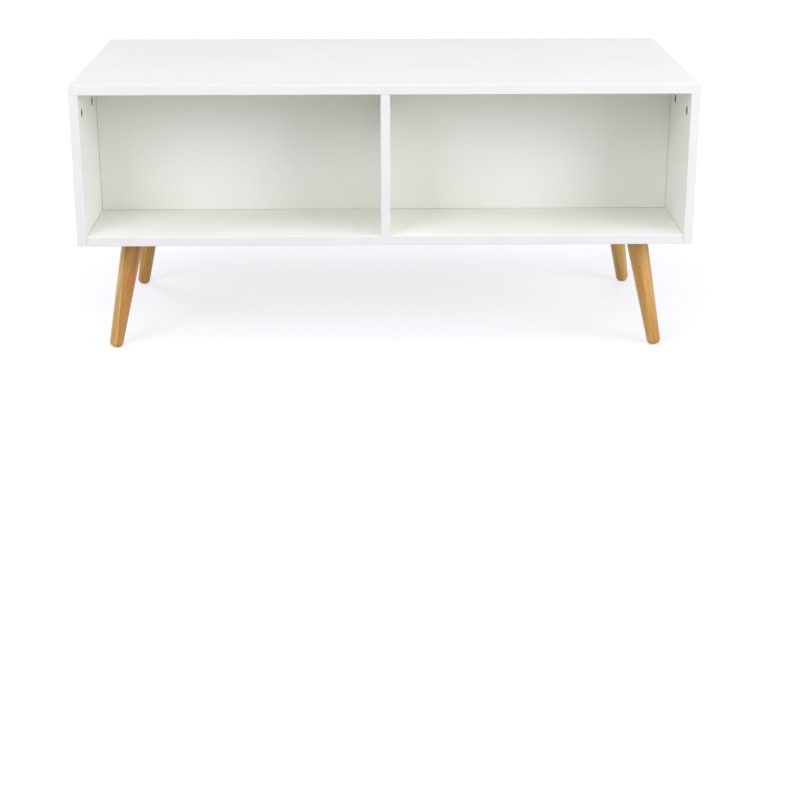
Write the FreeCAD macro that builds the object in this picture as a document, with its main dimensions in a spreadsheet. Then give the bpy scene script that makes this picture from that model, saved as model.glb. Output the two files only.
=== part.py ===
import FreeCAD, Part
import os
import re

import Sketcher
from FreeCAD import Placement, Rotation, Vector

# Low media table: a white board carcass with two open compartments at the front, a closed bay
# behind them and four splayed wooden legs. Lengths are in millimetres and angles in degrees.
# The origin is under the middle of the table at floor level, the front faces -Y and +Z is up.

SIZES = {
    # Whole table
    "table_width": 1000,
    "table_depth": 500,
    "table_height": 450,
    "carcass_height": 260,
    "compartment_depth": 186,
    # Boards, edge bands and the grooved-in rear panel
    "board_thickness": 15,
    "joint_gap": 0.5,
    "band_thickness": 1,
    "band_round_share": 0.8,
    "rear_panel_thickness": 5,
    "rear_panel_recess": 5,
    "groove_depth": 5,
    "groove_clearance": 0.2,
    # Legs
    "leg_inset_across": 80,
    "leg_inset_deep": 92,
    "leg_tilt": 15,
    "leg_top_diameter": 36,
    "leg_foot_diameter": 22,
    "leg_foot_round": 9,
    "foot_flat_depth": 0.6,
    # Leg plates with their hanger bolts and screws
    "plate_side": 60,
    "plate_thickness": 2.5,
    "plate_corner_radius": 6,
    "boss_diameter": 26,
    "leg_plate_gap": 1.5,
    "hanger_diameter": 8,
    "hanger_top_gap": 0.9,
    "hanger_wood_diameter": 7,
    "hanger_wood_depth": 30,
    "plate_screw_margin": 8,
    "plate_screw_diameter": 4,
    "plate_screw_head_diameter": 8,
    "plate_screw_head_share": 0.8,
    "plate_screw_floor": 5.5,
    # Turning cam locks and their bolts
    "cam_diameter": 15,
    "cam_clearance": 0.08,
    "cam_seat_gap": 0.1,
    "cam_bore_floor": 2.5,
    "cam_recess": 0.4,
    "cam_edge_distance": 34,
    "cam_front_setback": 36,
    "cam_back_distance": 41,
    "base_cam_setback": 40,
    "cam_unlock_angle": 180,
    "cam_pointer_width": 1.2,
    "cam_pointer_share": 0.55,
    "bolt_play": 0.2,
    "bolt_thread_diameter": 6,
    "bolt_thread_floor": 4,
    "bolt_shank_diameter": 7,
    "bolt_shank_gap": 1,
    "bolt_hole_clearance": 0.5,
    "bolt_neck_diameter": 4,
    "bolt_head_diameter": 6,
    "bolt_head_reach": 3.6,
    "bolt_head_tail": 0.6,
    # Cross recess of cams and screws
    "drive_length": 6,
    "drive_width": 1.4,
    "drive_depth": 1.2,
    # Dowels
    "dowel_diameter": 8,
    "dowel_length": 30,
    "dowel_floor": 5,
    "top_dowel_setback": 60,
    "top_dowel_spacing": 140,
    "base_dowel_offset": 100,
    "back_end_dowel_setback": 50,
    "back_top_dowel_offset": 240,
    "divider_fixing_setback": 45,
    # Screws driven up through the bottom panel
    "base_screw_length": 50,
    "base_screw_shank_diameter": 7,
    "base_screw_thread_diameter": 5,
    "base_screw_head_diameter": 10,
    "base_screw_head_height": 2.5,
    "base_screw_near_offset": 120,
    "base_screw_far_offset": 350,
    "socket_diameter": 4.6,
    "socket_depth": 3,
    # Shared clearances
    "fit_clearance": 0.1,
    "end_gap": 0.5,
    "cut_overrun": 5,
}

# Levels and faces that several pieces share
UNDERSIDE = "(table_height - carcass_height)"
SHELF = "(table_height - carcass_height + board_thickness)"
CEILING = "(table_height - board_thickness)"
INNER = "(table_width / 2 - board_thickness)"
BOARD_END = "(table_width / 2 - board_thickness - joint_gap)"
SIDE_MIDDLE = "(table_width / 2 - board_thickness / 2)"
FRONT = "(-table_depth / 2)"
REAR = "(table_depth / 2)"
CORE_FRONT = "(band_thickness - table_depth / 2)"
CORE_REAR = "(table_depth / 2 - band_thickness)"
BACK_FACE = "(compartment_depth - table_depth / 2)"
BACK_MIDDLE = "(compartment_depth + board_thickness / 2 - table_depth / 2)"
GROOVE_FRONT = "(table_depth / 2 - rear_panel_recess - rear_panel_thickness - groove_clearance)"
GROOVE_REAR = "(table_depth / 2 - rear_panel_recess + groove_clearance)"

# Sizes that follow from the pieces they fit
CAM_BORE_DEPTH = "(board_thickness - cam_bore_floor)"
CAM_SETBACKS = {"front": "cam_front_setback", "rear": "(compartment_depth - cam_back_distance)"}
CAM_POCKET = "2 * (hypot(bolt_head_reach; bolt_head_diameter / 2) + bolt_play)"
BOLT_THREAD = "(board_thickness - bolt_thread_floor)"
DOWEL_FACE_DEPTH = "(board_thickness - dowel_floor)"
LEG_EDGE_RISE = "leg_top_diameter / 2 * sin(leg_tilt)"
BOSS_DROP = f"((plate_thickness + leg_plate_gap + {LEG_EDGE_RISE}) / cos(leg_tilt))"
HANGER_TOP = "((hanger_top_gap + hanger_diameter / 2 * sin(leg_tilt)) / cos(leg_tilt))"
PLATE_SCREW_PITCH = "(plate_side - 2 * plate_screw_margin)"
PLATE_SCREW_LENGTH = "(plate_thickness + board_thickness - plate_screw_floor)"
DIVIDER_FIXINGS = (f"{FRONT} + divider_fixing_setback", f"{BACK_FACE} - divider_fixing_setback")
BASE_SCREW_HEAD = ("base_screw_head_diameter", "base_screw_shank_diameter", "base_screw_head_height")
PLATE_SCREW_HEAD = (
    "plate_screw_head_diameter",
    "plate_screw_diameter",
    "plate_thickness * plate_screw_head_share",
)
ORIGIN = ("0", "0", "0")
FOOT_EDGE_SHARE = 0.99

TURNS = {
    "+x": Rotation(Vector(0, 1, 0), 90),
    "-x": Rotation(Vector(0, 1, 0), -90),
    "+y": Rotation(Vector(1, 0, 0), -90),
    "-y": Rotation(Vector(1, 0, 0), 90),
    "+z": Rotation(),
    "-z": Rotation(Vector(1, 0, 0), 180),
}
UNITS = {name: turn.multVec(Vector(0, 0, 1)) for name, turn in TURNS.items()}
BAND_TURNS = {
    "front": Rotation(),
    "rear": Rotation(Vector(0, 0, 1), 180),
    "left": Rotation(Vector(0, 0, 1), -90),
    "right": Rotation(Vector(0, 0, 1), 90),
    "upright_front": Rotation(Vector(0, 0, 1), Vector(0, 1, 0), Vector(-1, 0, 0), "ZXY"),
    "upright_rear": Rotation(Vector(0, 0, 1), Vector(0, -1, 0), Vector(1, 0, 0), "ZXY"),
    "under": Rotation(Vector(0, 1, 0), Vector(0, 0, 1), Vector(1, 0, 0), "ZXY"),
}
SIDES = {"left": "-", "right": "+"}
ENDS = {"front": "-", "rear": "+"}
CORNERS = [(side, end) for side in SIDES for end in ENDS]

doc = FreeCAD.newDocument("MediaTable")
sheet = doc.addObject("Spreadsheet::Sheet", "Sizes")
for row, (alias, value) in enumerate(SIZES.items(), start=1):
    sheet.set(f"A{row}", alias)
    sheet.set(f"B{row}", str(value))
    sheet.setAlias(f"B{row}", alias)
doc.recompute()

sub_parts = []
board_cuts = {}


# Building blocks

def formula(text):
    """Turn a sum written in dimension names into an expression on the sheet."""
    return re.sub(r"\b[a-z]+(?:_[a-z]+)+\b", lambda name: "Sizes." + name.group(), text)


def bind(piece, **sums):
    """Bind a piece's properties to sums of the dimensions."""
    for name, text in sums.items():
        piece.setExpression(name, formula(text))
    return piece


def place(piece, point, turn=TURNS["+z"]):
    """Put a piece at a point whose coordinates are sums of the dimensions."""
    piece.Placement = Placement(Vector(), turn)
    for axis, text in zip("xyz", point):
        piece.setExpression(f"Placement.Base.{axis}", formula(text))
    return piece


def reverse(direction):
    """Give the opposite of a direction such as +x."""
    return ("-" if direction[0] == "+" else "+") + direction[1]


def shifted(point, direction, distance):
    """Move a point along a direction by a sum of the dimensions."""
    moved = list(point)
    axis = "xyz".index(direction[1])
    moved[axis] = f"{point[axis]} {direction[0]} ({distance})"
    return moved


def box(across, deep, up):
    """Make a block from its lower and upper limits along X, Y and Z."""
    spans = (across, deep, up)
    piece = doc.addObject("Part::Box", "Block")
    for name, (low, high) in zip(("Length", "Width", "Height"), spans):
        bind(piece, **{name: f"{high} - ({low})"})
    return place(piece, [low for low, high in spans])


def cylinder(diameter, start, length, direction):
    """Make a round bar that starts at a point and runs along a direction."""
    piece = doc.addObject("Part::Cylinder", "Bar")
    bind(piece, Radius=f"({diameter}) / 2", Height=length)
    return place(piece, start, TURNS[direction])


def copy(master, point, turn=TURNS["+z"]):
    """Set another piece of the same kind at a point."""
    piece = doc.addObject("App::Link", "Copy")
    piece.LinkedObject = master
    piece.LinkTransform = True
    return place(piece, point, turn)


def fuse(pieces):
    """Join several shapes to one."""
    joined = doc.addObject("Part::MultiFuse", "Joined")
    joined.Shapes = pieces
    return joined


def cut(base, tools):
    """Take all the tools away from a shape."""
    piece = doc.addObject("Part::Cut", "Cut")
    piece.Base = base
    piece.Tool = tools[0] if len(tools) == 1 else fuse(tools)
    return piece


def group(pieces):
    """Hold separate solids together as one sub-part."""
    piece = doc.addObject("Part::Compound", "Group")
    piece.Links = pieces
    return piece


def keep(label, piece):
    """Name a finished sub-part, so that it is checked and written."""
    piece.Label = label
    sub_parts.append(piece)
    return piece


def draw(body, plane, corners):
    """Draw a closed outline of straight lines on one of a body's own planes."""
    sketch = body.newObject("Sketcher::SketchObject", "Outline")
    support = next(item for item in body.Origin.OriginFeatures if item.Role == plane)
    sketch.AttachmentSupport = [(support, "")]
    sketch.MapMode = "FlatFace"
    count = len(corners)
    for index in range(count):
        start = Vector(index, index * index, 0)
        end = Vector(index + 1, (index + 1) * (index + 1), 0)
        sketch.addGeometry(Part.LineSegment(start, end))
    for index in range(count):
        sketch.addConstraint(Sketcher.Constraint("Coincident", index, 2, (index + 1) % count, 1))
    for index, corner in enumerate(corners):
        for kind, text in zip(("DistanceX", "DistanceY"), corner):
            number = sketch.addConstraint(Sketcher.Constraint(kind, -1, 1, index, 1, 1.0))
            sketch.renameConstraint(number, f"{kind}{index}")
            sketch.setExpression(f"Constraints.{kind}{index}", formula(text))
    return sketch


def turned(corners):
    """Make a body of revolution about its Z axis from an outline of radius and height."""
    body = doc.addObject("PartDesign::Body", "Turned")
    sketch = draw(body, "XZ_Plane", corners)
    revolution = body.newObject("PartDesign::Revolution", "Revolution")
    revolution.Profile = sketch
    revolution.ReferenceAxis = (sketch, ["V_Axis"])
    return body


def padded(corners, plane, length):
    """Make a body of one outline, padded to both sides of its plane."""
    body = doc.addObject("PartDesign::Body", "Padded")
    pad = body.newObject("PartDesign::Pad", "Pad")
    pad.Profile = draw(body, plane, corners)
    pad.SideType = "Symmetric"
    bind(pad, Length=length)
    return body


def round_edges(body, chosen, radius):
    """Round the edges of a body that a test picks out."""
    doc.recompute()
    base = body.Tip
    names = [f"Edge{number}" for number, edge in enumerate(base.Shape.Edges, start=1) if chosen(edge)]
    fillet = body.newObject("PartDesign::Fillet", "Round")
    fillet.Base = (base, names)
    bind(fillet, Radius=radius)
    return body


# Boards are sawn first as plain blocks, and every joint adds its holes before they are cut

def drill(board, diameter, mouth, depth, direction):
    """Add a round hole to a board, from a point on its face."""
    start = shifted(mouth, reverse(direction), "cut_overrun")
    board_cuts.setdefault(board, []).append(
        cylinder(diameter, start, f"{depth} + cut_overrun", direction)
    )


def add_board(label, across, deep, up):
    """Make a board from its limits and take its holes and grooves out of it."""
    blank = box(across, deep, up)
    tools = board_cuts.get(label, [])
    keep(label, cut(blank, tools) if tools else blank)


def add_dowel(face_board, edge_board, joint, direction):
    """Put a dowel across a joint; the direction points into the board drilled in its face."""
    hole = "dowel_diameter + 2 * fit_clearance"
    edge_depth = f"dowel_length - {DOWEL_FACE_DEPTH}"
    drill(face_board, hole, joint, f"{DOWEL_FACE_DEPTH} + end_gap", direction)
    drill(edge_board, hole, joint, f"{edge_depth} + end_gap", reverse(direction))
    start = shifted(joint, reverse(direction), edge_depth)
    return cylinder("dowel_diameter", start, "dowel_length", direction)


# Dowels

def add_dowels():
    """Peg the top, the bottom panel, the compartment back and the divider to their neighbours."""
    top, base, back, middle = [], [], [], []
    for side, sign in SIDES.items():
        panel = f"{side}_side_panel"
        outward = f"{sign}x"
        edge = f"{sign}{SIDE_MIDDLE}"
        face = f"{sign}{INNER}"
        for setback in ("top_dowel_setback", "(top_dowel_setback + top_dowel_spacing)"):
            joint = (edge, f"{REAR} - {setback}", CEILING)
            top.append(add_dowel("top_panel", panel, joint, "+z"))
        for end in ENDS.values():
            joint = (face, f"{end}base_dowel_offset", f"{UNDERSIDE} + board_thickness / 2")
            base.append(add_dowel(panel, "bottom_panel", joint, outward))
        for level in (f"{SHELF} + back_end_dowel_setback", f"{CEILING} - back_end_dowel_setback"):
            back.append(add_dowel(panel, "compartment_back", (face, BACK_MIDDLE, level), outward))
        joint = (f"{sign}back_top_dowel_offset", BACK_MIDDLE, CEILING)
        back.append(add_dowel("top_panel", "compartment_back", joint, "+z"))
    for depth in DIVIDER_FIXINGS:
        middle.append(add_dowel("top_panel", "centre_divider", ("0", depth, CEILING), "+z"))
    keep("top_dowels", group(top))
    keep("base_dowels", group(base))
    keep("compartment_back_dowels", group(back))
    keep("divider_dowels", group(middle))


# Screws with a countersunk head; the same outline, a little larger, cuts their holes

def screw_outline(head, shank, head_height, length, extra="0"):
    """Give a screw's outline, from the face of its head along its shank."""
    head_radius = f"{head} / 2 + {extra}"
    shank_radius = f"{shank} / 2 + {extra}"
    return [
        ("0", "0"),
        (head_radius, "0"),
        (shank_radius, head_height),
        (shank_radius, length),
        ("0", length),
    ]


def screw_hole(head, shank, head_height, depth):
    """Make the tool that sinks a screw's hole, with its mouth at the origin."""
    outline = screw_outline(head, shank, head_height, depth, "fit_clearance")
    head_radius = outline[1][0]
    return turned([("0", "-cut_overrun"), (head_radius, "-cut_overrun")] + outline[1:])


def cross_recess(inside, outside):
    """Make the two crossing slots of a screwdriver recess between two levels."""
    long = ("-drive_length / 2", "drive_length / 2")
    short = ("-drive_width / 2", "drive_width / 2")
    return [box(long, short, (inside, outside)), box(short, long, (inside, outside))]


def make_base_screw():
    """Make a screw with a thick shank for the bottom panel and a thread for the board above it."""
    outline = screw_outline(*BASE_SCREW_HEAD, "board_thickness")
    thread = "base_screw_thread_diameter / 2"
    outline[-1:] = [(thread, "board_thickness"), (thread, "base_screw_length"), ("0", "base_screw_length")]
    socket = doc.addObject("Part::Prism", "Socket")
    bind(socket, Circumradius="socket_diameter / 2", Height="socket_depth + cut_overrun")
    return cut(turned(outline), [place(socket, ("0", "0", "-cut_overrun"))])


def add_base_screws():
    """Screw the compartment back and the divider on from under the bottom panel."""
    screw = make_base_screw()
    hole = screw_hole(*BASE_SCREW_HEAD, "board_thickness + cut_overrun")
    places = [
        (f"{sign}{offset}", BACK_MIDDLE, "compartment_back")
        for sign in SIDES.values()
        for offset in ("base_screw_near_offset", "base_screw_far_offset")
    ]
    for depth in DIVIDER_FIXINGS:
        places.append(("0", depth, "centre_divider"))
    pilot = "base_screw_thread_diameter + 2 * fit_clearance"
    pilot_depth = "base_screw_length - board_thickness + end_gap"
    screws = []
    for x, y, board in places:
        screws.append(copy(screw, (x, y, UNDERSIDE)))
        board_cuts.setdefault("bottom_panel", []).append(copy(hole, (x, y, UNDERSIDE)))
        drill(board, pilot, (x, y, SHELF), pilot_depth, "+z")
    keep("base_screws", group(screws))


# Cam locks: a turning cam in one board pulls on the head of a bolt in the next

def bolt_gate(room, level):
    """Make a square way from a cam's axis out through its rim, along +X."""
    half = f"({room}) / 2"
    return box(("0", "cam_diameter / 2"), (f"-{half}", half), (f"{level} - {half}", f"{level} + {half}"))


def make_cam():
    """Make a cam with its face at the origin, its axis on +Z and its bolt coming in along +X."""
    height = f"{CAM_BORE_DEPTH} - cam_recess - cam_seat_gap"
    bolt_level = "cam_recess - board_thickness / 2"
    rim = "cam_diameter / 2"
    blank = cylinder("cam_diameter - 2 * cam_clearance", ORIGIN, height, "-z")
    head_room = "bolt_head_diameter + 2 * bolt_play"
    neck_room = "bolt_neck_diameter + 2 * bolt_play"
    pocket_floor = ("0", "0", f"{bolt_level} - ({head_room}) / 2")
    pocket = cylinder(CAM_POCKET, pocket_floor, head_room, "+z")
    sweep = cylinder("cam_diameter", ("0", "0", f"{bolt_level} - ({neck_room}) / 2"), neck_room, "+z")
    bind(sweep, Angle="cam_unlock_angle")
    gate = bolt_gate(neck_room, bolt_level)
    mouth = bolt_gate(head_room, bolt_level)
    opened = [copy(tool, ORIGIN, Rotation(Vector(0, 0, 1), 90)) for tool in (sweep, mouth)]
    for tool in opened:
        tool.setExpression("Placement.Rotation.Angle", formula("-cam_unlock_angle"))
    pointer = box(
        (f"{rim} * cam_pointer_share", rim),
        ("-cam_pointer_width / 2", "cam_pointer_width / 2"),
        ("-drive_depth", "cut_overrun"),
    )
    return cut(blank, [pocket, gate, pointer] + opened + cross_recess("-drive_depth", "cut_overrun"))


def make_cam_bolt():
    """Make a bolt along +Z: thread below the joint, head beyond it at the cam's axis."""
    thread = "bolt_thread_diameter / 2"
    shank = "bolt_shank_diameter / 2"
    neck = "bolt_neck_diameter / 2"
    head = "bolt_head_diameter / 2"
    shank_end = "cam_edge_distance - cam_diameter / 2 - bolt_shank_gap"
    shoulder = "cam_edge_distance - bolt_head_reach"
    tail = "cam_edge_distance + bolt_head_tail"
    return turned([
        ("0", f"-{BOLT_THREAD}"),
        (thread, f"-{BOLT_THREAD}"),
        (thread, "0"),
        (shank, "0"),
        (shank, shank_end),
        (neck, shank_end),
        (neck, shoulder),
        (head, shoulder),
        (head, tail),
        ("0", tail),
    ])


def add_cam_lock(label, masters, boards, joint, pull, face_point, face):
    """Set a cam and its bolt: pull points from the cam to the joint, face out of the cam's face."""
    cam, bolt = masters
    cam_board, bolt_board = boards
    out, along = UNITS[face], UNITS[pull]
    turn = Rotation(along, out.cross(along), out, "ZXY")
    keep(label, copy(cam, shifted(face_point, reverse(face), "cam_recess"), turn))
    drill(cam_board, "cam_diameter", face_point, CAM_BORE_DEPTH, reverse(face))
    shank_hole = "bolt_shank_diameter + 2 * bolt_hole_clearance"
    drill(cam_board, shank_hole, joint, "cam_edge_distance", reverse(pull))
    thread_hole = "bolt_thread_diameter + 2 * fit_clearance"
    drill(bolt_board, thread_hole, joint, f"{BOLT_THREAD} + end_gap", pull)
    return copy(bolt, joint, TURNS[reverse(pull)])


def add_cam_locks():
    """Lock the top to the sides from the compartments, and the bottom panel to them from below."""
    masters = (make_cam(), make_cam_bolt())
    top_bolts, base_bolts = [], []
    for side, end in CORNERS:
        sign = SIDES[side]
        panel = f"{side}_side_panel"
        depth = f"{FRONT} + {CAM_SETBACKS[end]}"
        face_point = (f"{sign}{INNER}", depth, f"{CEILING} - cam_edge_distance")
        joint = (f"{sign}{SIDE_MIDDLE}", depth, CEILING)
        boards = (panel, "top_panel")
        inward = reverse(f"{sign}x")
        top_bolts.append(
            add_cam_lock(f"{side}_{end}_cam", masters, boards, joint, "+z", face_point, inward)
        )
        depth = f"{ENDS[end]}({REAR} - base_cam_setback)"
        face_point = (f"{sign}({INNER} - cam_edge_distance)", depth, UNDERSIDE)
        joint = (f"{sign}{INNER}", depth, f"{UNDERSIDE} + board_thickness / 2")
        boards = ("bottom_panel", panel)
        base_bolts.append(
            add_cam_lock(f"base_{side}_{end}_cam", masters, boards, joint, f"{sign}x", face_point, "-z")
        )
    keep("top_cam_bolts", group(top_bolts))
    keep("base_cam_bolts", group(base_bolts))


# Legs, their angled steel plates and what fastens them

def lean(piece, outward):
    """Lay a piece that points up +Z along a leg, downwards and outwards."""
    axis = Vector(0, 0, 1).cross(outward)
    piece.Placement = Placement(piece.Placement.Base, Rotation(axis, 90))
    piece.setExpression("Placement.Rotation.Angle", formula("180 - leg_tilt"))
    return piece


def make_leg():
    """Turn a tapered leg along +Z, from the underside of the table to its rounded foot."""
    foot = "leg_foot_diameter / 2"
    bore = "hanger_wood_diameter / 2 + fit_clearance"
    bore_end = f"{BOSS_DROP} + hanger_wood_depth + end_gap"
    drop = f"{UNDERSIDE} + foot_flat_depth - leg_foot_round - ({foot} - leg_foot_round) * sin(leg_tilt)"
    end = f"leg_foot_round + ({drop}) / cos(leg_tilt)"
    leg = turned([
        (bore, BOSS_DROP),
        ("leg_top_diameter / 2", BOSS_DROP),
        (foot, end),
        ("0", end),
        ("0", bore_end),
        (bore, bore_end),
    ])
    doc.recompute()
    end_level = leg.Shape.BoundBox.ZMax * FOOT_EDGE_SHARE
    return round_edges(leg, lambda edge: edge.CenterOfMass.z > end_level, "leg_foot_round")


def make_hanger_bolt():
    """Turn a bolt with a machine thread for the plate and a thinner wood thread for the leg."""
    plate = "hanger_diameter / 2"
    wood = "hanger_wood_diameter / 2"
    end = f"{BOSS_DROP} + hanger_wood_depth"
    return turned([
        ("0", HANGER_TOP),
        (plate, HANGER_TOP),
        (plate, BOSS_DROP),
        (wood, BOSS_DROP),
        (wood, end),
        ("0", end),
    ])


def make_leg_plate():
    """Make a plate under the table, with a slanted boss for a leg that leans to +X."""
    span = ("-plate_side / 2", "plate_side / 2")
    square = [(span[0], span[0]), (span[1], span[0]), (span[1], span[1]), (span[0], span[1])]
    blank = padded(square, "XY_Plane", "plate_thickness")
    round_edges(blank, lambda edge: edge.BoundBox.ZLength > edge.Length / 2, "plate_corner_radius")
    place(blank, ("0", "0", "-plate_thickness / 2"))
    outward = Vector(1, 0, 0)
    boss = lean(cylinder("boss_diameter", ORIGIN, BOSS_DROP, "+z"), outward)
    bolt_hole = "hanger_diameter + 2 * fit_clearance"
    hole = lean(cylinder(bolt_hole, ORIGIN, f"{BOSS_DROP} + cut_overrun", "+z"), outward)
    above = box(span, span, ("0", "boss_diameter"))
    sink = screw_hole(*PLATE_SCREW_HEAD, "plate_thickness + cut_overrun")
    ends = (f"-{PLATE_SCREW_PITCH} / 2", f"{PLATE_SCREW_PITCH} / 2")
    sinks = [copy(sink, (x, y, "-plate_thickness")) for x in ends for y in ends]
    return cut(fuse([blank, boss]), [hole, above] + sinks)


def add_legs():
    """Set the four legs with their plates, hanger bolts and screws."""
    leg = make_leg()
    bolt = make_hanger_bolt()
    plate = make_leg_plate()
    recess = cross_recess("-cut_overrun", "drive_depth")
    screw = cut(turned(screw_outline(*PLATE_SCREW_HEAD, PLATE_SCREW_LENGTH)), recess)
    pilot = "plate_screw_diameter + 2 * fit_clearance"
    pilot_depth = f"{PLATE_SCREW_LENGTH} - plate_thickness + end_gap"
    ground = box(
        ("-table_width", "table_width"), ("-table_depth", "table_depth"), ("-table_height", "0")
    )
    bolts, screws = [], []
    for side, end in CORNERS:
        x_sign, y_sign = SIDES[side], ENDS[end]
        outward = UNITS[f"{x_sign}x"] + UNITS[f"{y_sign}y"]
        x = f"{x_sign}(table_width / 2 - leg_inset_across)"
        y = f"{y_sign}(table_depth / 2 - leg_inset_deep)"
        centre = (x, y, UNDERSIDE)
        keep(f"{side}_{end}_leg", cut(lean(copy(leg, centre), outward), [ground]))
        keep(f"{side}_{end}_leg_plate", copy(plate, centre, Rotation(Vector(1, 0, 0), outward)))
        bolts.append(lean(copy(bolt, centre), outward))
        for direction in ("+x", "-x", "+y", "-y"):
            mouth = shifted(centre, direction, f"{PLATE_SCREW_PITCH} / sqrt(2)")
            screws.append(copy(screw, shifted(mouth, "-z", "plate_thickness")))
            drill("bottom_panel", pilot, mouth, pilot_depth, "+z")
    keep("hanger_bolts", group(bolts))
    keep("plate_screws", group(screws))


# Edge bands

def make_band(length, point, turn, ends_rounded=False):
    """Make a band along X whose outer face looks to -Y, then turn it and glue it on at a point."""
    section = [
        ("-band_thickness", "0"),
        ("0", "0"),
        ("0", "board_thickness"),
        ("-band_thickness", "board_thickness"),
    ]
    band = padded(section, "YZ_Plane", length)
    middle = -sheet.band_thickness / 2

    def is_outer(edge):
        lengthwise = edge.BoundBox.XLength > edge.Length / 2
        return edge.BoundBox.YMax < middle and (lengthwise or ends_rounded)

    round_edges(band, is_outer, "band_thickness * band_round_share")
    return place(band, point, turn)


def upright_bands(x_left, low, high, ends):
    """Make the bands on the upright edges of a board whose left face is at a given place."""
    length = f"{high} - ({low})"
    level = f"({high} + {low}) / 2"
    points = {
        "front": (f"{x_left} + board_thickness", CORE_FRONT, level),
        "rear": (x_left, CORE_REAR, level),
    }
    return [make_band(length, points[end], BAND_TURNS[f"upright_{end}"]) for end in ends]


def add_bands():
    """Cover the sawn edges that show: the top all round, the sides, the bottom panel and the divider."""
    core_length = "table_depth - 2 * band_thickness"
    keep("top_edge_bands", group([
        make_band("table_width", ("0", CORE_FRONT, CEILING), BAND_TURNS["front"], ends_rounded=True),
        make_band("table_width", ("0", CORE_REAR, CEILING), BAND_TURNS["rear"], ends_rounded=True),
        make_band(core_length, ("band_thickness - table_width / 2", "0", CEILING), BAND_TURNS["left"]),
        make_band(core_length, ("table_width / 2 - band_thickness", "0", CEILING), BAND_TURNS["right"]),
    ]))
    for side, x_left in (("left", "-table_width / 2"), ("right", INNER)):
        bands = upright_bands(x_left, UNDERSIDE, CEILING, ENDS)
        foot = (x_left, "0", f"{UNDERSIDE} + band_thickness")
        bands.append(make_band(core_length, foot, BAND_TURNS["under"]))
        keep(f"{side}_side_edge_bands", group(bands))
    keep("bottom_edge_bands", group([
        make_band(f"2 * {BOARD_END}", ("0", CORE_FRONT, UNDERSIDE), BAND_TURNS["front"]),
        make_band(f"2 * {BOARD_END}", ("0", CORE_REAR, UNDERSIDE), BAND_TURNS["rear"]),
    ]))
    keep("divider_edge_band", upright_bands("-board_thickness / 2", SHELF, CEILING, ["front"])[0])


# Boards

def add_grooves():
    """Cut the groove that the rear panel stands in, all round the back of the carcass."""
    deep = (GROOVE_FRONT, GROOVE_REAR)
    reach = f"({INNER} + groove_depth)"
    floor = f"{SHELF} - groove_depth"
    board_cuts["top_panel"].append(
        box((f"-{reach}", reach), deep, (f"{CEILING} - cut_overrun", f"{CEILING} + groove_depth"))
    )
    board_cuts["bottom_panel"].append(
        box((f"-{INNER} - cut_overrun", f"{INNER} + cut_overrun"), deep, (floor, f"{SHELF} + cut_overrun"))
    )
    upright = (floor, f"{CEILING} + cut_overrun")
    board_cuts["left_side_panel"].append(box((f"-{reach}", f"-{INNER} + cut_overrun"), deep, upright))
    board_cuts["right_side_panel"].append(box((f"{INNER} - cut_overrun", reach), deep, upright))


def add_boards():
    """Make the seven boards of the carcass."""
    core = (CORE_FRONT, CORE_REAR)
    inside = (f"-{BOARD_END}", BOARD_END)
    upright = (SHELF, CEILING)
    side_height = (f"{UNDERSIDE} + band_thickness", CEILING)
    top_span = ("band_thickness - table_width / 2", "table_width / 2 - band_thickness")
    add_board("top_panel", top_span, core, (CEILING, "table_height"))
    add_board("left_side_panel", ("-table_width / 2", f"-{INNER}"), core, side_height)
    add_board("right_side_panel", (INNER, "table_width / 2"), core, side_height)
    add_board("bottom_panel", inside, core, (UNDERSIDE, SHELF))
    divider_span = ("-board_thickness / 2", "board_thickness / 2")
    add_board("centre_divider", divider_span, (CORE_FRONT, BACK_FACE), upright)
    # The broken lower edge of the compartments' back leaves a fine shadow line along the shelf
    edge_depth = (f"{BACK_FACE} - cut_overrun", f"{BACK_FACE} + board_thickness / 6")
    board_cuts["compartment_back"].append(
        box((f"-{INNER}", INNER), edge_depth, (f"{SHELF} - cut_overrun", f"{SHELF} + joint_gap"))
    )
    add_board("compartment_back", inside, (BACK_FACE, f"{BACK_FACE} + board_thickness"), upright)
    reach = f"({INNER} + groove_depth - groove_clearance)"
    add_board(
        "rear_panel",
        (f"-{reach}", reach),
        (f"{REAR} - rear_panel_recess - rear_panel_thickness", f"{REAR} - rear_panel_recess"),
        (f"{SHELF} - groove_depth", f"{CEILING} + groove_depth - groove_clearance"),
    )


def write_parts():
    """Check every object and write each sub-part to a file of its own name."""
    doc.recompute()
    for item in doc.Objects:
        if "Invalid" in item.State or "Error" in item.State:
            raise RuntimeError(f"{item.Name} ({item.Label}) failed: {item.State}")
    for piece in sub_parts:
        shape = Part.getShape(piece)
        if shape.isNull() or not shape.isValid() or not shape.Solids:
            raise RuntimeError(f"{piece.Label} has no valid solid")
    os.makedirs("parts", exist_ok=True)
    for piece in sub_parts:
        Part.getShape(piece).exportStep(f"parts/{piece.Label}.step")


add_dowels()
add_base_screws()
add_cam_locks()
add_legs()
add_grooves()
add_boards()
add_bands()
write_parts()
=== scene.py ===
import math

import bpy
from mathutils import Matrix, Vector


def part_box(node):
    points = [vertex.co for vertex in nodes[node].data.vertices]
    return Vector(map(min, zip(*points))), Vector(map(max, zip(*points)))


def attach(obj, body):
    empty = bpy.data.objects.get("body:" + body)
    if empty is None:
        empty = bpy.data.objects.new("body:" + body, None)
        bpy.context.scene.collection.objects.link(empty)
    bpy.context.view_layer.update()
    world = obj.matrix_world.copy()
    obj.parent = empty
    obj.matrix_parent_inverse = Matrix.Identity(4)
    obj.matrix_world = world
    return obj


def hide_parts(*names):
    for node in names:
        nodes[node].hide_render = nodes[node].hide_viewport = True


# Low white coffee table with two open compartments and honey-coloured turned legs.
# Lengths are in metres in the frame of the solids: the front faces -Y and +Z is up.

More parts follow.
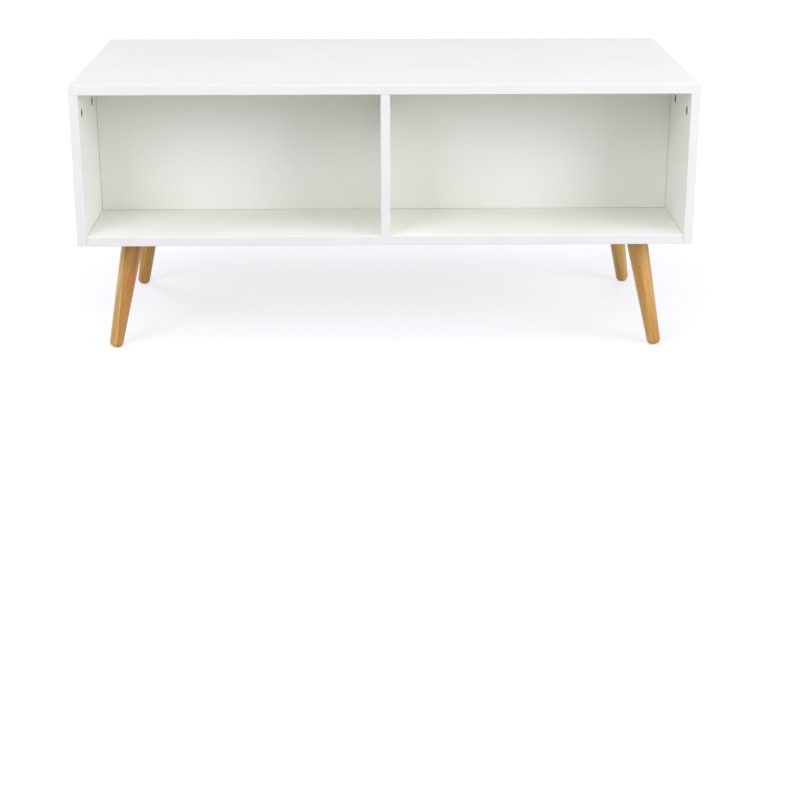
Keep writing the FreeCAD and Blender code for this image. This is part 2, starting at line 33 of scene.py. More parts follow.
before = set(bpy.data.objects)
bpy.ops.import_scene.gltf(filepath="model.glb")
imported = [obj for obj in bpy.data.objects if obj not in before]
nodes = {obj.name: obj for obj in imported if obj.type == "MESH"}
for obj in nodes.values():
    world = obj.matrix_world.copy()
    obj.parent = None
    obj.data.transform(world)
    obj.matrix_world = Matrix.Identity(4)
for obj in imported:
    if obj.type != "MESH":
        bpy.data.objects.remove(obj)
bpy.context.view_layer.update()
scene = bpy.context.scene
scene.view_settings.view_transform = "Standard"

MM = 0.001
CARCASS = "carcass"

# Nearly all values of a noise texture lie between these two
NOISE_LOW = 0.3
NOISE_HIGH = 0.7


# Helpers for colours and node trees

def linear(hex_colour):
    """Turn an sRGB hex colour into the linear values that a shader takes."""
    channels = [int(hex_colour[start:start + 2], 16) / 255 for start in (1, 3, 5)]
    return [c / 12.92 if c <= 0.04045 else ((c + 0.055) / 1.055) ** 2.4 for c in channels] + [1.0]


def add_node(tree, kind, sockets=None, stops=(), **settings):
    """Add a node with its settings, its inputs by name, identifier or number, and its colour stops."""
    node = tree.nodes.new(kind)
    for name, value in settings.items():
        setattr(node, name, value)
    for key, value in (sockets or {}).items():
        if isinstance(key, int):
            socket = node.inputs[key]
        else:
            same = [s for s in node.inputs if s.identifier == key]
            socket = (same or [s for s in node.inputs if s.name == key])[0]
        if isinstance(value, bpy.types.NodeSocket):
            tree.links.new(value, socket)
        else:
            socket.default_value = value
    for number, (position, colour) in enumerate(stops):
        elements = node.color_ramp.elements
        if number >= len(elements):
            elements.new(position)
        elements[number].position = position
        elements[number].color = linear(colour)
    return node


def new_material(name):
    """Start a material with a principled shader, and give its tree and that shader."""
    material = bpy.data.materials.new(name)
    material.use_nodes = True
    tree = material.node_tree
    return material, tree, tree.nodes["Principled BSDF"]


def finish_shader(tree, shader, colour, roughness, normal):
    """Give a shader its colour, roughness and bump from the nodes that draw them."""
    tree.links.new(colour, shader.inputs["Base Color"])
    tree.links.new(roughness, shader.inputs["Roughness"])
    tree.links.new(normal, shader.inputs["Normal"])


# Materials

def white_melamine():
    """Chipboard faced with pressed melamine paper, in a fine pearl texture."""
    # Gives the eye an even warm white, with a soft broad sheen broken by a tiny grain.
    material, tree, shader = new_material("white_melamine_pearl")
    place = add_node(tree, "ShaderNodeTexCoord").outputs["Object"]
    # Clouds 140 mm across
    cloud = add_node(tree, "ShaderNodeTexNoise", {
        "Vector": place, "Scale": 1 / (140 * MM), "Detail": 3.0,
    }).outputs["Fac"]
    tint = add_node(tree, "ShaderNodeValToRGB", {"Fac": cloud}, stops=[
        (NOISE_LOW, "#F4F3E9"), (NOISE_HIGH, "#F7F6EC"),
    ])
    # The real pearl is about 0.3 mm, drawn at 1.2 mm so that it still shows close up
    pearl = add_node(tree, "ShaderNodeTexNoise", {
        "Vector": place, "Scale": 1 / (1.2 * MM), "Detail": 2.0,
    }).outputs["Fac"]
    sheen = add_node(tree, "ShaderNodeMapRange", {
        "Value": pearl, "From Min": NOISE_LOW, "From Max": NOISE_HIGH, "To Min": 0.76, "To Max": 0.88,
    })
    bump = add_node(tree, "ShaderNodeBump", {"Height": pearl, "Strength": 0.12, "Distance": 0.1 * MM})
    finish_shader(tree, shader, tint.outputs["Color"], sheen.outputs["Result"], bump.outputs["Normal"])
    shader.inputs["IOR"].default_value = 1.5
    return material


def white_edge_band():
    """Extruded ABS edging, milled flush and buffed at its rounded edges."""
    # Gives the eye a slightly cooler and smoother white line along every sawn edge.
    material, tree, shader = new_material("white_abs_edging")
    place = add_node(tree, "ShaderNodeTexCoord").outputs["Object"]
    # Clouds 60 mm across
    cloud = add_node(tree, "ShaderNodeTexNoise", {
        "Vector": place, "Scale": 1 / (60 * MM), "Detail": 2.0,
    }).outputs["Fac"]
    tint = add_node(tree, "ShaderNodeValToRGB", {"Fac": cloud}, stops=[
        (NOISE_LOW, "#F2F1E8"), (NOISE_HIGH, "#F5F4EC"),
    ])
    # The scraper's marks are about 0.5 mm, drawn at 1.5 mm so that they still show close up
    grain = add_node(tree, "ShaderNodeTexNoise", {
        "Vector": place, "Scale": 1 / (1.5 * MM), "Detail": 1.0,
    }).outputs["Fac"]
    sheen = add_node(tree, "ShaderNodeMapRange", {
        "Value": grain, "From Min": NOISE_LOW, "From Max": NOISE_HIGH, "To Min": 0.44, "To Max": 0.54,
    })
    bump = add_node(tree, "ShaderNodeBump", {"Height": grain, "Strength": 0.08, "Distance": 0.1 * MM})
    finish_shader(tree, shader, tint.outputs["Color"], sheen.outputs["Result"], bump.outputs["Normal"])
    shader.inputs["IOR"].default_value = 1.53
    return material


def white_rear_fibreboard():
    """Thin fibreboard with a roller-coated white lacquer."""
    # Gives the eye a flatter white than the boards, with a faint orange peel.
    material, tree, shader = new_material("white_lacquered_fibreboard")
    place = add_node(tree, "ShaderNodeTexCoord").outputs["Object"]
    # Clouds 180 mm across
    cloud = add_node(tree, "ShaderNodeTexNoise", {
        "Vector": place, "Scale": 1 / (180 * MM), "Detail": 3.0,
    }).outputs["Fac"]
    tint = add_node(tree, "ShaderNodeValToRGB", {"Fac": cloud}, stops=[
        (NOISE_LOW, "#F0EFE5"), (NOISE_HIGH, "#F3F2E8"),
    ])
    sheen = add_node(tree, "ShaderNodeMapRange", {
        "Value": cloud, "From Min": NOISE_LOW, "From Max": NOISE_HIGH, "To Min": 0.5, "To Max": 0.6,
    })
    # Orange peel 2.5 mm across
    peel = add_node(tree, "ShaderNodeTexNoise", {
        "Vector": place, "Scale": 1 / (2.5 * MM), "Detail": 1.0,
    }).outputs["Fac"]
    bump = add_node(tree, "ShaderNodeBump", {"Height": peel, "Strength": 0.1, "Distance": 0.1 * MM})
    finish_shader(tree, shader, tint.outputs["Color"], sheen.outputs["Result"], bump.outputs["Normal"])
    shader.inputs["IOR"].default_value = 1.5
    return material


def honey_lacquered_wood():
    """Rubberwood turned from glued staves, with a honey-tinted satin lacquer."""
    # Gives the eye long straw and orange patches along the leg, a tone that jumps at a glue line,
    # short dark pores and a soft lacquer highlight.
    material, tree, shader = new_material("honey_lacquered_rubberwood")
    grain = add_node(tree, "ShaderNodeAttribute", attribute_name="grain").outputs["Vector"]
    # Staves 52 mm wide, glued a few degrees off the leg's axis
    stave_width = 52 * MM
    stave_slope = 1 / 16
    part = add_node(tree, "ShaderNodeSeparateXYZ", {0: grain}).outputs
    across = add_node(tree, "ShaderNodeMath", {
        0: part["Z"], 1: stave_slope, 2: part["Y"],
    }, operation="MULTIPLY_ADD").outputs[0]
    stave = add_node(tree, "ShaderNodeMath", {0: across, 1: stave_width}, operation="DIVIDE").outputs[0]
    stave = add_node(tree, "ShaderNodeMath", {0: stave}, operation="FLOOR").outputs[0]
    # Neighbouring staves differ in tone by this step, which wraps round at 1
    tone_step = 0.37
    stave_tone = add_node(tree, "ShaderNodeMath", {0: stave, 1: tone_step}, operation="MULTIPLY").outputs[0]
    stave_tone = add_node(tree, "ShaderNodeMath", {0: stave_tone}, operation="FRACT").outputs[0]
    # Patches about 9 mm across and 110 mm long, different in each stave
    long_patch = add_node(tree, "ShaderNodeMapping", {"Vector": grain, "Scale": (1.0, 1.0, 0.08)})
    patch = add_node(tree, "ShaderNodeTexNoise", {
        "Vector": long_patch.outputs["Vector"], "W": stave,
        "Scale": 1 / (9 * MM), "Detail": 2.0, "Distortion": 0.3,
    }, noise_dimensions="4D").outputs["Fac"]
    stave_weight = 0.55
    tone = add_node(tree, "ShaderNodeMath", {
        0: stave_tone, 1: stave_weight, 2: patch,
    }, operation="MULTIPLY_ADD").outputs[0]
    tint = add_node(tree, "ShaderNodeValToRGB", {"Fac": tone}, stops=[
        (0.35, "#EEC976"), (0.65, "#D8A249"), (1.0, "#C07D31"),
    ])
    # Growth rings about 3 mm wide round a heart outside the leg, bent by up to 6 mm along it
    ring_width = 3 * MM
    ring_bend = 6 * MM
    heart_place = (31 * MM, 18 * MM, 0.0)
    drift = add_node(tree, "ShaderNodeMapping", {"Vector": grain, "Scale": (1.0, 1.0, 0.12)})
    wander = add_node(tree, "ShaderNodeTexNoise", {
        "Vector": drift.outputs["Vector"], "Scale": 1 / (14 * MM), "Detail": 2.0,
    })
    bend = add_node(tree, "ShaderNodeVectorMath", {
        0: wander.outputs["Color"], 1: (ring_bend, ring_bend, 0.0), 2: grain,
    }, operation="MULTIPLY_ADD")
    flat = add_node(tree, "ShaderNodeVectorMath", {
        0: bend.outputs["Vector"], 1: (1.0, 1.0, 0.0),
    }, operation="MULTIPLY")
    heart = add_node(tree, "ShaderNodeVectorMath", {
        0: flat.outputs["Vector"], 1: heart_place,
    }, operation="DISTANCE")
    turns = add_node(tree, "ShaderNodeMath", {
        0: heart.outputs["Value"], 1: math.tau / ring_width,
    }, operation="MULTIPLY")
    wave = add_node(tree, "ShaderNodeMath", {0: turns.outputs[0]}, operation="SINE")
    ring = add_node(tree, "ShaderNodeMapRange", {
        "Value": wave.outputs[0], "From Min": -1.0, "From Max": 1.0, "To Min": 0.95, "To Max": 1.03,
    })
    # Fibres 1.4 mm across and 45 mm long
    long_fibre = add_node(tree, "ShaderNodeMapping", {"Vector": grain, "Scale": (1.0, 1.0, 0.03)})
    fibre = add_node(tree, "ShaderNodeTexNoise", {
        "Vector": long_fibre.outputs["Vector"], "Scale": 1 / (1.4 * MM), "Detail": 3.0, "Roughness": 0.6,
    }).outputs["Fac"]
    streak = add_node(tree, "ShaderNodeMapRange", {
        "Value": fibre, "From Min": NOISE_LOW, "From Max": NOISE_HIGH, "To Min": 0.88, "To Max": 1.07,
    })
    # Pores are about 0.2 mm across and 3 mm long, drawn at 0.7 mm and 7 mm so that they show
    long_pore = add_node(tree, "ShaderNodeMapping", {"Vector": grain, "Scale": (1.0, 1.0, 0.1)})
    dot = add_node(tree, "ShaderNodeTexNoise", {
        "Vector": long_pore.outputs["Vector"], "Scale": 1 / (0.7 * MM), "Detail": 0.0,
    }).outputs["Fac"]
    pore = add_node(tree, "ShaderNodeMapRange", {
        "Value": dot, "From Min": 0.66, "From Max": 0.76, "To Min": 1.0, "To Max": 0.7,
    })
    shade = add_node(tree, "ShaderNodeMath", {
        0: ring.outputs["Result"], 1: streak.outputs["Result"],
    }, operation="MULTIPLY").outputs[0]
    shade = add_node(tree, "ShaderNodeMath", {
        0: shade, 1: pore.outputs["Result"],
    }, operation="MULTIPLY").outputs[0]
    colour = add_node(tree, "ShaderNodeVectorMath", {
        0: tint.outputs["Color"], "Scale": shade,
    }, operation="SCALE")
    sheen = add_node(tree, "ShaderNodeMapRange", {
        "Value": fibre, "From Min": NOISE_LOW, "From Max": 0.65, "To Min": 0.48, "To Max": 0.36,
    })
    bump = add_node(tree, "ShaderNodeBump", {"Height": shade, "Strength": 0.2, "Distance": 0.15 * MM})
    finish_shader(tree, shader, colour.outputs["Vector"], sheen.outputs["Result"], bump.outputs["Normal"])
    shader.inputs["IOR"].default_value = 1.5
    shader.inputs["Coat Weight"].default_value = 0.25
    shader.inputs["Coat Roughness"].default_value = 0.25
    return material


def zinc_plated_steel(name, light, dark, roughness):
    """Pressed or turned steel with a bright blue-passivated zinc plating."""
    # Gives the eye a cool grey metal with cloudy patches of sheen.
    material, tree, shader = new_material(name)
    place = add_node(tree, "ShaderNodeTexCoord").outputs["Object"]
    # Clouds 9 mm across
    cloud = add_node(tree, "ShaderNodeTexNoise", {
        "Vector": place, "Scale": 1 / (9 * MM), "Detail": 3.0,
    }).outputs["Fac"]
    tint = add_node(tree, "ShaderNodeValToRGB", {"Fac": cloud}, stops=[
        (NOISE_LOW, dark), (NOISE_HIGH, light),
    ])
    spread = 0.06
    sheen = add_node(tree, "ShaderNodeMapRange", {
        "Value": cloud, "From Min": NOISE_LOW, "From Max": NOISE_HIGH,
        "To Min": roughness - spread, "To Max": roughness + spread,
    })
    # Crystals of the plating 0.7 mm across
    crystal = add_node(tree, "ShaderNodeTexNoise", {
        "Vector": place, "Scale": 1 / (0.7 * MM), "Detail": 1.0,
    }).outputs["Fac"]
    bump = add_node(tree, "ShaderNodeBump", {"Height": crystal, "Strength": 0.1, "Distance": 0.05 * MM})
    finish_shader(tree, shader, tint.outputs["Color"], sheen.outputs["Result"], bump.outputs["Normal"])
    shader.inputs["Metallic"].default_value = 1.0
    return material


def die_cast_zinc():
    """Zinc cast in a die and tumbled, left without plating, its grey darkened further by painted shade."""
    # Gives the eye a dull dark grey with a sandy skin and only a weak sheen. Part of the darkness is painted
    # shade of the recess that the cam sits in.
    material, tree, shader = new_material("die_cast_zinc_with_painted_shade")
    place = add_node(tree, "ShaderNodeTexCoord").outputs["Object"]
    # Clouds 3 mm across
    cloud = add_node(tree, "ShaderNodeTexNoise", {
        "Vector": place, "Scale": 1 / (3 * MM), "Detail": 3.0,
    }).outputs["Fac"]
    # These greys are the zinc's own grey, darkened as painted shade of the cam's recess in the board
    tint = add_node(tree, "ShaderNodeValToRGB", {"Fac": cloud}, stops=[
        (NOISE_LOW, "#5C5D60"), (NOISE_HIGH, "#77787B"),
    ])
    # Sandy skin 0.4 mm across
    sand = add_node(tree, "ShaderNodeTexNoise", {
        "Vector": place, "Scale": 1 / (0.4 * MM), "Detail": 2.0,
    }).outputs["Fac"]
    sheen = add_node(tree, "ShaderNodeMapRange", {
        "Value": sand, "From Min": NOISE_LOW, "From Max": NOISE_HIGH, "To Min": 0.45, "To Max": 0.65,
    })
    bump = add_node(tree, "ShaderNodeBump", {"Height": sand, "Strength": 0.25, "Distance": 0.06 * MM})
    finish_shader(tree, shader, tint.outputs["Color"], sheen.outputs["Result"], bump.outputs["Normal"])
    shader.inputs["Metallic"].default_value = 1.0
    return material


def beech_dowel():
    """Planed beech, unfinished, with the short dark flecks of its rays."""
    # Gives the eye a pale pinkish wood with tiny dashes.
    material, tree, shader = new_material("unfinished_beech")
    place = add_node(tree, "ShaderNodeTexCoord").outputs["Object"]
    # Flecks 0.8 mm across
    fleck = add_node(tree, "ShaderNodeTexNoise", {
        "Vector": place, "Scale": 1 / (0.8 * MM), "Detail": 2.0,
    }).outputs["Fac"]
    tint = add_node(tree, "ShaderNodeValToRGB", {"Fac": fleck}, stops=[
        (NOISE_LOW, "#B98F63"), (0.45, "#D8B489"), (NOISE_HIGH, "#E2C39B"),
    ])
    sheen = add_node(tree, "ShaderNodeMapRange", {"Value": fleck, "To Min": 0.6, "To Max": 0.75})
    bump = add_node(tree, "ShaderNodeBump", {"Height": fleck, "Strength": 0.2, "Distance": 0.1 * MM})
    finish_shader(tree, shader, tint.outputs["Color"], sheen.outputs["Result"], bump.outputs["Normal"])
    return material


BOARD = white_melamine()
BAND = white_edge_band()
REAR = white_rear_fibreboard()
WOOD = honey_lacquered_wood()
PLATE = zinc_plated_steel("zinc_plated_pressed_steel", "#CFD2D6", "#BCC0C6", 0.36)
STEEL = zinc_plated_steel("zinc_plated_turned_steel", "#D4D6D8", "#BFC2C6", 0.28)
CAM = die_cast_zinc()
BEECH = beech_dowel()


# The solids that keep their shape get their finish by the last words of their names

FINISHES = {
    ("edge_bands", "edge_band"): BAND,
    ("rear_panel",): REAR,
    ("dowels",): BEECH,
    ("bolts", "screws"): STEEL,
    ("leg_plate",): PLATE,
    ("leg",): WOOD,
    ("cam",): CAM,
}


def finish_of(name):
    """Pick a solid's material, which is the boards' own where no ending fits."""
    for endings, material in FINISHES.items():
        if name.endswith(endings):
            return material
    return BOARD


for name, solid in nodes.items():
    solid.data.materials.clear()
    solid.data.materials.append(finish_of(name))


# Turned legs: an outline of radius and depth, turned about the leg's own axis

LEG_TILT = math.radians(15)
LEG_TOP_RADIUS = 18 * MM
LEG_FOOT_RADIUS = 11 * MM
LEG_FOOT_ROUND = 9 * MM
# The leg's top clears the underside of the table by its plate and a gap
LEG_TOP_GAP = 2.5 * MM + 1.5 * MM
# The foot would reach this far into the floor, and is worn flat there
FOOT_WEAR = 0.6 * MM
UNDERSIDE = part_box("bottom_panel")[0].z

# Depths run along the axis, from the point where it meets the underside
TOP_DROP = (LEG_TOP_GAP + LEG_TOP_RADIUS * math.sin(LEG_TILT)) / math.cos(LEG_TILT)
ROUND_CENTRE = LEG_FOOT_RADIUS - LEG_FOOT_ROUND
FOOT_REACH = UNDERSIDE + FOOT_WEAR - LEG_FOOT_ROUND - ROUND_CENTRE * math.sin(LEG_TILT)
LEG_LENGTH = LEG_FOOT_ROUND + FOOT_REACH / math.cos(LEG_TILT)

LEG = {
    "Top Radius": LEG_TOP_RADIUS,
    "Foot Radius": LEG_FOOT_RADIUS,
    "Top Drop": TOP_DROP,
    "Length": LEG_LENGTH,
    "Top Round": 0.8 * MM,
    "Foot Round": LEG_FOOT_ROUND,
    "Bore Radius": 3.6 * MM,
    "Bore Depth": 30.5 * MM,
    "Tilt": LEG_TILT,
}
LEG_SIDES = 96
ROUND_STEPS = 14
WELD = 0.01 * MM
SHARP_ANGLE = math.radians(35)

# The place in the timber that each leg was cut from
CUT_FROM = {
    "left_front": (0.0, -9.8 * MM, 0.0),
    "right_front": (40 * MM, 52.4 * MM, 310 * MM),
    "left_rear": (90 * MM, 162 * MM, 640 * MM),
    "right_rear": (140 * MM, 114.5 * MM, 980 * MM),
}


def leg_outline(tree, size):
    """Lay the leg's outline as corner points, and round the ones that have a rounding."""
    bore_end = add_node(tree, "ShaderNodeMath", {
        0: size["Top Drop"], 1: size["Bore Depth"],
    }, operation="ADD").outputs[0]
    corners = [
        (0.0, bore_end, None),
        (size["Bore Radius"], bore_end, None),
        (size["Bore Radius"], size["Top Drop"], None),
        (size["Top Radius"], size["Top Drop"], size["Top Round"]),
        (size["Foot Radius"], size["Length"], size["Foot Round"]),
        (0.0, size["Length"], None),
    ]
    index = add_node(tree, "GeometryNodeInputIndex").outputs[0]
    points = add_node(tree, "GeometryNodeIndexSwitch", {0: index}, data_type="VECTOR")
    rounds = add_node(tree, "GeometryNodeIndexSwitch", {0: index}, data_type="FLOAT")
    for number, (radius, depth, rounding) in enumerate(corners):
        if number >= len(points.index_switch_items):
            points.index_switch_items.new()
            rounds.index_switch_items.new()
        corner = add_node(tree, "ShaderNodeCombineXYZ", {"X": radius, "Z": depth})
        tree.links.new(corner.outputs[0], points.inputs[number + 1])
        if rounding is not None:
            tree.links.new(rounding, rounds.inputs[number + 1])
    line = add_node(tree, "GeometryNodeMeshLine", {"Count": len(corners)})
    laid = add_node(tree, "GeometryNodeSetPosition", {
        "Geometry": line.outputs[0], "Position": points.outputs[0],
    })
    curve = add_node(tree, "GeometryNodeMeshToCurve", {"Mesh": laid.outputs[0]})
    rounded = add_node(tree, "GeometryNodeFilletCurve", {
        "Curve": curve.outputs[0], "Count": ROUND_STEPS, "Radius": rounds.outputs[0], "Limit Radius": True,
    }, mode="POLY")
    return add_node(tree, "GeometryNodeCurveToMesh", {"Curve": rounded.outputs[0]}).outputs[0]


def turned_leg_tree():
    """Build the tree that turns a leg, keeps its grain and leans it out to its corner."""
    tree = bpy.data.node_groups.new("turned_leg", "GeometryNodeTree")
    tree.interface.new_socket("Geometry", in_out="OUTPUT", socket_type="NodeSocketGeometry")
    for name in LEG:
        tree.interface.new_socket(name, in_out="INPUT", socket_type="NodeSocketFloat")
    for name in ("Corner", "Lean Axis", "Grain Start"):
        tree.interface.new_socket(name, in_out="INPUT", socket_type="NodeSocketVector")
    size = add_node(tree, "NodeGroupInput").outputs
    outline = leg_outline(tree, size)
    count = add_node(tree, "GeometryNodeAttributeDomainSize", {
        "Geometry": outline,
    }, component="MESH").outputs["Point Count"]
    # A flat sheet from -0.5 to 0.5: its rows follow the outline, and its columns go round the leg
    sheet = add_node(tree, "GeometryNodeMeshGrid", {
        "Size X": 1.0, "Size Y": 1.0, "Vertices X": LEG_SIDES + 1, "Vertices Y": count,
    })
    place = add_node(tree, "GeometryNodeInputPosition").outputs[0]
    share = add_node(tree, "ShaderNodeSeparateXYZ", {0: place})
    last = add_node(tree, "ShaderNodeMath", {0: count, 1: 1.0}, operation="SUBTRACT").outputs[0]
    row = add_node(tree, "ShaderNodeMath", {0: share.outputs["Y"], 1: 0.5}, operation="ADD").outputs[0]
    row = add_node(tree, "ShaderNodeMath", {0: row, 1: last}, operation="MULTIPLY").outputs[0]
    row = add_node(tree, "FunctionNodeFloatToInt", {0: row}, rounding_mode="ROUND").outputs[0]
    outline_place = add_node(tree, "GeometryNodeInputPosition").outputs[0]
    sample = add_node(tree, "GeometryNodeSampleIndex", {
        "Geometry": outline, "Value": outline_place, "Index": row,
    }, data_type="FLOAT_VECTOR", domain="POINT", clamp=True)
    section = add_node(tree, "ShaderNodeSeparateXYZ", {0: sample.outputs[0]})
    angle = add_node(tree, "ShaderNodeMath", {
        0: share.outputs["X"], 1: math.tau,
    }, operation="MULTIPLY").outputs[0]
    around = []
    for operation in ("COSINE", "SINE"):
        part = add_node(tree, "ShaderNodeMath", {0: angle}, operation=operation).outputs[0]
        part = add_node(tree, "ShaderNodeMath", {0: part, 1: section.outputs["X"]}, operation="MULTIPLY")
        around.append(part.outputs[0])
    turned = add_node(tree, "ShaderNodeCombineXYZ", {
        "X": around[0], "Y": around[1], "Z": section.outputs["Z"],
    })
    leg = add_node(tree, "GeometryNodeSetPosition", {
        "Geometry": sheet.outputs["Mesh"], "Position": turned.outputs[0],
    })
    leg = add_node(tree, "GeometryNodeMergeByDistance", {"Geometry": leg.outputs[0], "Distance": WELD})
    # The grain is kept from the leg as it stood in the timber, so it stays put when the leg leans
    start = add_node(tree, "ShaderNodeVectorMath", {0: place, 1: size["Grain Start"]}, operation="ADD")
    leg = add_node(tree, "GeometryNodeStoreNamedAttribute", {
        "Geometry": leg.outputs[0], "Name": "grain", "Value": start.outputs[0],
    }, data_type="FLOAT_VECTOR", domain="POINT")
    bend = add_node(tree, "GeometryNodeInputMeshEdgeAngle").outputs["Unsigned Angle"]
    soft = add_node(tree, "ShaderNodeMath", {0: bend, 1: SHARP_ANGLE}, operation="LESS_THAN").outputs[0]
    for domain, smooth in (("FACE", True), ("EDGE", soft)):
        leg = add_node(tree, "GeometryNodeSetShadeSmooth", {
            "Geometry": leg.outputs[0], "Shade Smooth": smooth,
        }, domain=domain)
    # The leg is turned pointing up, so it is swung down and out before it is set on its corner
    swing = add_node(tree, "ShaderNodeMath", {0: math.pi, 1: size["Tilt"]}, operation="SUBTRACT").outputs[0]
    swung = add_node(tree, "ShaderNodeVectorRotate", {
        "Vector": place, "Axis": size["Lean Axis"], "Angle": swing,
    }, rotation_type="AXIS_ANGLE")
    moved = add_node(tree, "ShaderNodeVectorMath", {0: swung.outputs[0], 1: size["Corner"]}, operation="ADD")
    # The foot is worn flat where it meets the floor, and nothing else reaches these limits
    worn = add_node(tree, "ShaderNodeVectorMath", {
        0: moved.outputs[0], 1: (-1.0, -1.0, 0.0),
    }, operation="MAXIMUM")
    leg = add_node(tree, "GeometryNodeSetPosition", {
        "Geometry": leg.outputs[0], "Position": worn.outputs[0],
    })
    leg = add_node(tree, "GeometryNodeRealizeInstances", {"Geometry": leg.outputs[0]})
    leg = add_node(tree, "GeometryNodeSetMaterial", {"Geometry": leg.outputs[0], "Material": WOOD})
    add_node(tree, "NodeGroupOutput", {"Geometry": leg.outputs[0]})
    return tree


def make_piece(name, tree, values):
    """Run a tree with its inputs set by name, and keep the result as a plain mesh."""
    holder = bpy.data.objects.new(name, bpy.data.meshes.new(name))
    scene.collection.objects.link(holder)
    modifier = holder.modifiers.new(tree.name, "NODES")
    modifier.node_group = tree
    for item in tree.interface.items_tree:
        if item.in_out == "INPUT" and item.name in values:
            modifier[item.identifier] = values[item.name]
    graph = bpy.context.evaluated_depsgraph_get()
    mesh = bpy.data.meshes.new_from_object(
        holder.evaluated_get(graph), preserve_all_data_layers=True, depsgraph=graph,
    )
    holder.modifiers.clear()
    holder.data = mesh
    mesh.name = name
    return holder


def add_legs():
    """Turn the four legs and set each one under the middle of its plate."""
    tree = turned_leg_tree()
    for corner, cut_from in CUT_FROM.items():
        low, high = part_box(f"{corner}_leg_plate")
        middle = (low + high) / 2
        outward = Vector((math.copysign(1, middle.x), math.copysign(1, middle.y), 0)).normalized()
        values = dict(LEG)
        values["Corner"] = (middle.x, middle.y, UNDERSIDE)
        values["Lean Axis"] = tuple(Vector((0, 0, 1)).cross(outward))
        values["Grain Start"] = cut_from
        leg = make_piece(f"{corner}_turned_leg", tree, values)
        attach(leg, CARCASS)
        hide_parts(f"{corner}_leg")


add_legs()


# Floor, light and camera

SKY_STRENGTH = 0.37
LAMP_COLOUR = "#F2F3FF"
FRONT_AIM = (0, -0.1, 0.3)
REAR_AIM = (0, 0, 0.3)

FLOOR_REACH = 20.0
# The floor's own glow rises from near the table to plain white further out
NEAR_GLOW = 0.55
NEAR_DISTANCE = 0.65
WHITE_GLOW = 1.0
WHITE_DISTANCE = 1.8

CAMERA_PLACE = (-0.0269, -2.977, 0.9206)
LOOK_DOWN = math.radians(20.11)
LOOK_RIGHT = math.radians(1.05)
LENS_LENGTH = 77.82
SENSOR_WIDTH = 36.0


def seen_directly(tree):
    """Tell rays that show the background from rays that only carry light."""
    ray = add_node(tree, "ShaderNodeLightPath").outputs
    shown = add_node(tree, "ShaderNodeMath", {
        0: ray["Is Camera Ray"], 1: ray["Is Glossy Ray"],
    }, operation="MAXIMUM").outputs[0]
    return add_node(tree, "ShaderNodeMath", {
        0: shown, 1: ray["Is Transmission Ray"],
    }, operation="MAXIMUM").outputs[0]


def add_world():
    """Light evenly from all round, over a plain white background."""
    world = bpy.data.worlds.new("white_studio")
    world.use_nodes = True
    scene.world = world
    tree = world.node_tree
    tree.nodes.clear()
    light = add_node(tree, "ShaderNodeBackground", {"Color": linear(LAMP_COLOUR), "Strength": SKY_STRENGTH})
    white = add_node(tree, "ShaderNodeBackground", {"Color": linear("#FFFFFF"), "Strength": WHITE_GLOW})
    mixed = add_node(tree, "ShaderNodeMixShader", {
        0: seen_directly(tree), 1: light.outputs[0], 2: white.outputs[0],
    })
    add_node(tree, "ShaderNodeOutputWorld", {"Surface": mixed.outputs[0]})


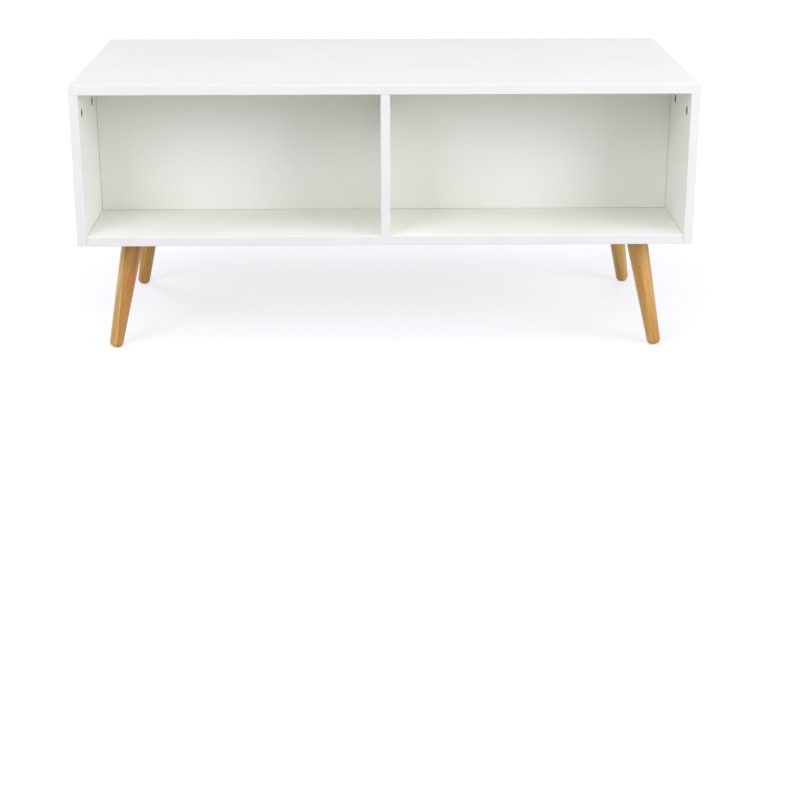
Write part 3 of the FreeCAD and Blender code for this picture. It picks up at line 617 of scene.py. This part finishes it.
def add_floor():
    """Lay a wide white floor that keeps the table's soft shadow."""
    material = bpy.data.materials.new("white_studio_floor")
    material.use_nodes = True
    tree = material.node_tree
    tree.nodes.clear()
    paint = add_node(tree, "ShaderNodeBsdfDiffuse", {"Color": linear("#BCBCBC")})
    pale = add_node(tree, "ShaderNodeBsdfDiffuse", {"Color": linear("#C4C4C4")})
    # Near the table the floor glows less, so that the shadow shows
    place = add_node(tree, "ShaderNodeTexCoord").outputs["Object"]
    far = add_node(tree, "ShaderNodeVectorMath", {0: place}, operation="LENGTH")
    level = add_node(tree, "ShaderNodeMapRange", {
        "Value": far.outputs["Value"], "From Min": NEAR_DISTANCE, "From Max": WHITE_DISTANCE,
        "To Min": NEAR_GLOW, "To Max": WHITE_GLOW,
    }, interpolation_type="SMOOTHSTEP")
    glow = add_node(tree, "ShaderNodeEmission", {
        "Color": linear("#FFFFFF"), "Strength": level.outputs["Result"],
    })
    shown = add_node(tree, "ShaderNodeAddShader", {0: pale.outputs[0], 1: glow.outputs[0]})
    mixed = add_node(tree, "ShaderNodeMixShader", {
        0: seen_directly(tree), 1: paint.outputs[0], 2: shown.outputs[0],
    })
    add_node(tree, "ShaderNodeOutputMaterial", {"Surface": mixed.outputs[0]})
    mesh = bpy.data.meshes.new("studio_floor")
    corners = [(x * FLOOR_REACH, y * FLOOR_REACH, 0) for x, y in ((-1, -1), (1, -1), (1, 1), (-1, 1))]
    mesh.from_pydata(corners, [], [(0, 1, 2, 3)])
    mesh.materials.append(material)
    floor = bpy.data.objects.new("studio_floor", mesh)
    scene.collection.objects.link(floor)


def add_lamp(name, place, aim, watts, size):
    """Hang a soft light, given as width and height, that looks at a point."""
    data = bpy.data.lights.new(name, "AREA")
    data.energy = watts
    data.color = linear(LAMP_COLOUR)[:3]
    data.shape = "RECTANGLE"
    data.size, data.size_y = size
    lamp = bpy.data.objects.new(name, data)
    lamp.location = place
    lamp.rotation_euler = (Vector(aim) - Vector(place)).to_track_quat("-Z", "Y").to_euler()
    scene.collection.objects.link(lamp)


def add_camera():
    """Stand where the photograph was taken, looking down at the table's front."""
    data = bpy.data.cameras.new("camera")
    data.sensor_width = SENSOR_WIDTH
    data.lens = LENS_LENGTH
    camera = bpy.data.objects.new("camera", data)
    camera.location = CAMERA_PLACE
    camera.rotation_euler = (math.pi / 2 - LOOK_DOWN, 0.0, -LOOK_RIGHT)
    scene.collection.objects.link(camera)
    scene.camera = camera


add_world()
add_floor()
add_lamp("top_light", (-0.1, -1.05, 2.95), FRONT_AIM, watts=31.0, size=(2.2, 1.6))
add_lamp("left_light", (-1.6, -2.4, 1.7), FRONT_AIM, watts=33.0, size=(1.4, 1.4))
add_lamp("right_light", (2.5, -2.0, 1.3), FRONT_AIM, watts=52.5, size=(2.2, 1.4))
add_lamp("left_rear_light", (-2.4, 2.2, 0.8), REAR_AIM, watts=45.0, size=(1.4, 1.2))
add_lamp("right_rear_light", (1.5, 2.9, 0.8), REAR_AIM, watts=36.5, size=(1.4, 1.2))
add_camera()
